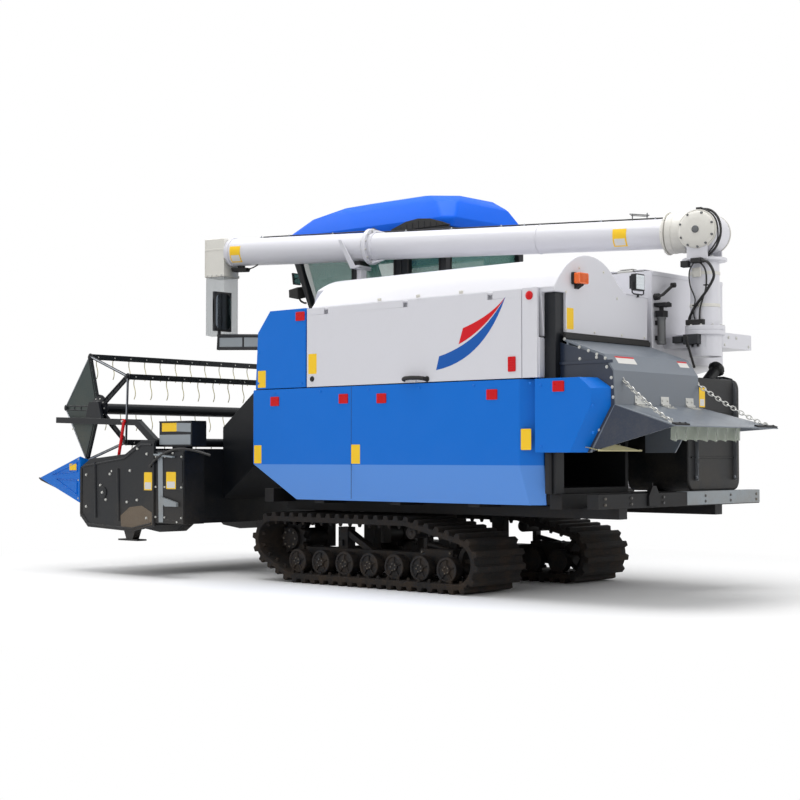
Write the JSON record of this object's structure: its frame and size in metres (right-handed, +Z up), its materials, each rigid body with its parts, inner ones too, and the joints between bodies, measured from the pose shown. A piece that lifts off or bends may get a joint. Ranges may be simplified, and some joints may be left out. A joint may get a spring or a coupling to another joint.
{
  "type": "tracked combine harvester",
  "caption": "Crawler grain combine with a front cutting header and tined reel, side threshing unit, glazed cab, grain tank and a swinging unloading tube",
  "frame": {"origin": "middle of the machine's box in plan, on the ground under the tracks", "axes": "+X forward in the direction of travel, +Y to the driver's left, +Z up"},
  "size_m": [5.6652, 2.42, 2.85],
  "materials": {
    "paint_blue": "gloss",
    "paint_white": "gloss",
    "paint_grey": "satin",
    "paint_black": "satin",
    "track_rubber": "matte",
    "fuel_plastic": "satin",
    "bare_steel": "satin",
    "tinted_glass": "polished",
    "clear_sheet": "satin",
    "seat_vinyl": "matte"
  },
  "bodies": {
    "machine": {"chassis_frame": "paint_black", "left_track": "track_rubber", "left_track_frame": "paint_black", "left_sprocket": "paint_black", "left_idler": "paint_black", "right_track": "track_rubber", "right_track_frame": "paint_black", "right_sprocket": "paint_black", "right_idler": "paint_black", "threshing_housing": "paint_black", "front_side_cover": "paint_blue", "lower_side_cover": "paint_blue", "rear_side_cover": "paint_blue", "corner_panel": "paint_white", "rear_post": "paint_black", "drum_cover": "paint_white", "straw_hood": "paint_grey", "deflector_flap": "paint_grey", "rubber_curtain": "clear_sheet", "fuel_tank": "fuel_plastic", "grain_tank": "paint_white", "engine_block": "paint_black", "engine_housing": "paint_black", "auger_base": "paint_white", "tube_rest": "paint_white", "cab_frame": "paint_black", "cab_roof": "paint_blue", "left_window": "tinted_glass", "rear_window": "tinted_glass", "windscreen": "tinted_glass", "cab_base": "paint_black", "seat_base": "paint_black", "seat_cushion": "seat_vinyl", "seat_back": "seat_vinyl", "steering_console": "paint_black", "mirror_bracket": "paint_black"},
    "side_door": {"side_door": "paint_white"},
    "cab_door": {"cab_door": "paint_blue", "cab_door_window": "tinted_glass"},
    "engine_screen_door": {"engine_screen_door": "paint_black"},
    "auger_post": {"auger_post": "paint_white"},
    "auger_tube": {"auger_tube": "paint_white", "auger_spout": "paint_white", "spout_sleeve": "clear_sheet"},
    "header": {"feeder_house": "paint_black", "header_body": "paint_black", "header_drive_case": "paint_black", "left_divider": "paint_blue", "right_divider": "paint_blue", "cutter_bar": "bare_steel"},
    "header_auger": {"header_auger": "bare_steel"},
    "reel_arms": {"reel_arms": "paint_black"},
    "reel": {"reel": "paint_black"},
    "lift_cylinder_barrel": {"lift_cylinder_barrel": "bare_steel"},
    "lift_cylinder_rod": {"lift_cylinder_rod": "bare_steel"},
    "tine_bar_1": {"tine_bar_1": "paint_black"},
    "tine_bar_2": {"tine_bar_2": "paint_black"},
    "tine_bar_3": {"tine_bar_3": "paint_black"},
    "tine_bar_4": {"tine_bar_4": "paint_black"},
    "tine_bar_5": {"tine_bar_5": "paint_black"}
  },
  "joints": [
    {"name": "side_door_hinge", "type": "hinge", "parent": "machine", "child": "side_door", "pos_m": [-0.87735, 0.941, 1.892], "axis": [1, 0, 0], "range_deg": [0, 80]},
    {"name": "cab_door_hinge", "type": "hinge", "parent": "machine", "child": "cab_door", "pos_m": [-0.00635, -1.054, 1.8], "axis": [0, 0, -1], "range_deg": [0, 85]},
    {"name": "engine_door_hinge", "type": "hinge", "parent": "machine", "child": "engine_screen_door", "pos_m": [-0.28635, -1.053, 0.9], "axis": [0, 0, -1], "range_deg": [0, 95]},
    {"name": "auger_swing", "type": "hinge", "parent": "machine", "child": "auger_post", "pos_m": [-2.29235, -0.38, 1.7], "axis": [0, 0, 1], "range_deg": [0, 210]},
    {"name": "auger_lift", "type": "hinge", "parent": "auger_post", "child": "auger_tube", "pos_m": [-2.29235, -0.38, 2.345], "axis": [0.1908, -0.9816, 0], "range_deg": [0, 40]},
    {"name": "header_lift", "type": "hinge", "parent": "machine", "child": "header", "pos_m": [0.67765, 0.3225, 1.27], "axis": [0, -1, 0], "range_deg": [-15, 12]},
    {"name": "lift_cylinder_pivot", "type": "hinge", "parent": "machine", "child": "lift_cylinder_barrel", "pos_m": [0.52765, -0.02, 0.72], "axis": [0, -1, 0], "range_deg": [-2, 2]},
    {"name": "lift_cylinder_slide", "type": "slide", "parent": "lift_cylinder_barrel", "child": "lift_cylinder_rod", "axis": [0.848, 0, 0.53], "range_m": [-0.118, 0.085]},
    {"name": "reel_lift", "type": "hinge", "parent": "header", "child": "reel_arms", "pos_m": [1.43765, 0, 0.985], "axis": [0, -1, 0], "range_deg": [-8, 14]},
    {"name": "reel_spin", "type": "hinge", "parent": "reel_arms", "child": "reel", "pos_m": [2.18765, 0, 1.252], "axis": [0, 1, 0], "continuous": true},
    {"name": "header_auger_spin", "type": "hinge", "parent": "header", "child": "header_auger", "pos_m": [1.62765, 0, 0.655], "axis": [0, 1, 0], "continuous": true},
    {"name": "tine_bar_1_turn", "type": "hinge", "parent": "reel", "child": "tine_bar_1", "pos_m": [2.61239, 0, 1.26683], "axis": [0, 1, 0], "continuous": true},
    {"name": "tine_bar_2_turn", "type": "hinge", "parent": "reel", "child": "tine_bar_2", "pos_m": [2.3048, 0, 1.66054], "axis": [0, 1, 0], "continuous": true},
    {"name": "tine_bar_3_turn", "type": "hinge", "parent": "reel", "child": "tine_bar_3", "pos_m": [1.83531, 0, 1.48966], "axis": [0, 1, 0], "continuous": true},
    {"name": "tine_bar_4_turn", "type": "hinge", "parent": "reel", "child": "tine_bar_4", "pos_m": [1.85275, 0, 0.99034], "axis": [0, 1, 0], "continuous": true},
    {"name": "tine_bar_5_turn", "type": "hinge", "parent": "reel", "child": "tine_bar_5", "pos_m": [2.33301, 0, 0.85263], "axis": [0, 1, 0], "continuous": true}
  ],
  "couplings": [
    {"joint": "lift_cylinder_pivot", "follows": "header_lift", "ratio": 0.08},
    {"joint": "lift_cylinder_slide", "follows": "header_lift", "m_per_rad": 0.385},
    {"joint": "tine_bar_1_turn", "follows": "reel_spin", "ratio": -1},
    {"joint": "tine_bar_2_turn", "follows": "reel_spin", "ratio": -1},
    {"joint": "tine_bar_3_turn", "follows": "reel_spin", "ratio": -1},
    {"joint": "tine_bar_4_turn", "follows": "reel_spin", "ratio": -1},
    {"joint": "tine_bar_5_turn", "follows": "reel_spin", "ratio": -1}
  ]
}
